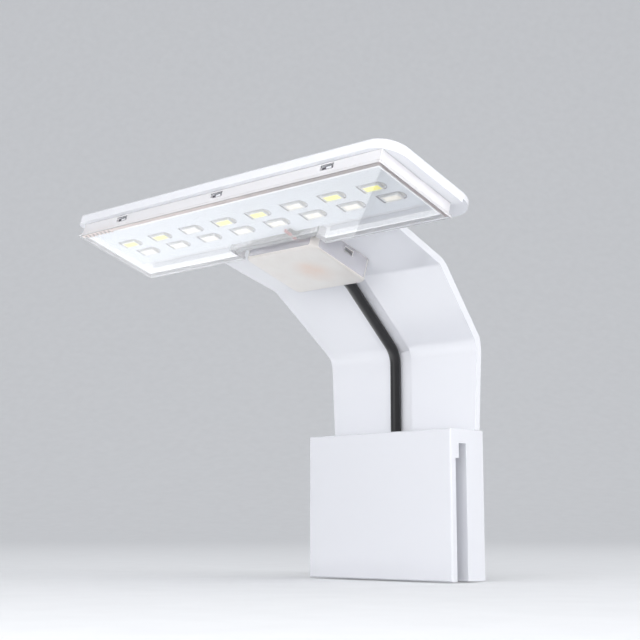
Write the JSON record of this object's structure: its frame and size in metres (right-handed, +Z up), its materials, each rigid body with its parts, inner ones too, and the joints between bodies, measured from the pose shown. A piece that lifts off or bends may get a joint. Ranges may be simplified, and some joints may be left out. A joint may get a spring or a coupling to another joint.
{
  "type": "led aquarium light",
  "caption": "Clip-on LED aquarium light: flat lamp plate with clear shade and staggered LEDs, bent arm with a cord groove, and a hanging clamp with a stepped glass slot.",
  "frame": {"origin": "middle of the roof of the clamp's narrow slot, where the tank's glass edge sits", "axes": "+Z up, X along the lamp plate, -Y over the water, +Y out of the tank"},
  "size_m": [0.1514, 0.1376, 0.1331],
  "materials": {
    "white_abs": "glossy white ABS",
    "clear_acrylic": "clear polished acrylic",
    "milky_polycarbonate": "milky translucent polycarbonate",
    "steel": "zinc plated",
    "grey_pad": "soft adhesive pad",
    "white_board": "white solder mask on aluminium",
    "white_mask": "matt pale blue-white sheet",
    "led_frame": "white LED frame",
    "yellow_gel": "yellow phosphor gel",
    "white_gel": "pale phosphor gel",
    "green_board": "green solder mask",
    "black_epoxy": "moulded epoxy",
    "orange_film": "dipped film capacitor",
    "ferrite": "dull ferrite",
    "nylon": "natural nylon",
    "can_aluminium": "sleeved can",
    "pink_resistor": "coated resistor",
    "red_pvc": "PVC insulation",
    "black_pvc": "soft black PVC",
    "black_rubber": "moulded boot",
    "black_tie": "soft tie",
    "black_plug": "moulded PVC",
    "plug_brass": "plated brass"
  },
  "bodies": {
    "clamp": {"clamp_body": "white_abs", "clamp_lid": "white_abs", "clamp_screws": "steel"},
    "lamp": {"arm_shell": "white_abs", "clear_shade": "clear_acrylic", "driver_cover": "milky_polycarbonate", "thermal_pad": "grey_pad", "led_board": "white_board", "window_mask": "white_mask", "led_frames": "led_frame", "yellow_phosphors": "yellow_gel", "white_phosphors": "white_gel", "driver_board": "green_board", "bridge_rectifier": "black_epoxy", "film_capacitor": "orange_film", "driver_chip": "black_epoxy", "choke_core": "ferrite", "lead_terminal": "nylon", "electrolytic_capacitors": "can_aluminium", "fuse_resistor": "pink_resistor", "red_lead": "red_pvc", "black_lead": "black_pvc", "cord_bar": "nylon", "bar_screws": "steel", "arm_cord": "black_pvc", "cord_boot": "black_rubber", "cord_coil": "black_pvc", "coil_tie": "black_tie", "cord_tail": "black_pvc", "plug_cord": "black_pvc", "plug_body": "black_plug", "plug_blades": "plug_brass"}
  },
  "joints": [
    {"name": "arm_lift", "type": "slide", "parent": "clamp", "child": "lamp", "axis": [0, 0, 1], "range_m": [0, 0.02]}
  ]
}
